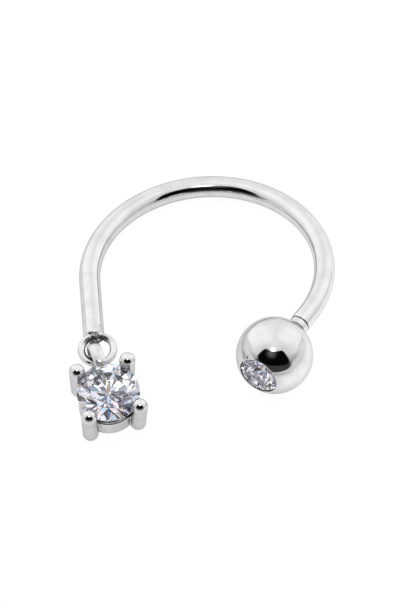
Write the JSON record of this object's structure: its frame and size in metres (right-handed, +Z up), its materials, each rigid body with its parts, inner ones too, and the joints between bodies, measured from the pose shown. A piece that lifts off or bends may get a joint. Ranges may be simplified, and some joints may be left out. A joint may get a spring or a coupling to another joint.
{
  "type": "piercing hoop",
  "caption": "Polished steel horseshoe piercing hoop with a stone-set screw ball at one end and a four-prong round stone drop on a soldered ring at the other.",
  "frame": {"origin": "on the surface the hoop lies on, below the middle of its bounding box", "axes": "+Z up from the surface, +Y towards the closed back of the hoop, +X from the drop's side towards the ball's side"},
  "size_m": [0.0199, 0.0249, 0.0058],
  "materials": {
    "polished_steel": "mirror-polished surgical steel with faint polishing marks",
    "clear_stone": "clear brilliant-cut cubic zirconia"
  },
  "bodies": {
    "hoop": {"hoop_bar": "polished_steel", "drop_setting": "polished_steel", "drop_stone": "clear_stone"},
    "ball_end": {"ball": "polished_steel", "ball_stone": "clear_stone"}
  },
  "joints": [
    {"name": "ball_unscrew", "type": "slide", "parent": "hoop", "child": "ball_end", "axis": [-0.5224, -0.851, 0.0544], "range_m": [0, 0.005]}
  ]
}
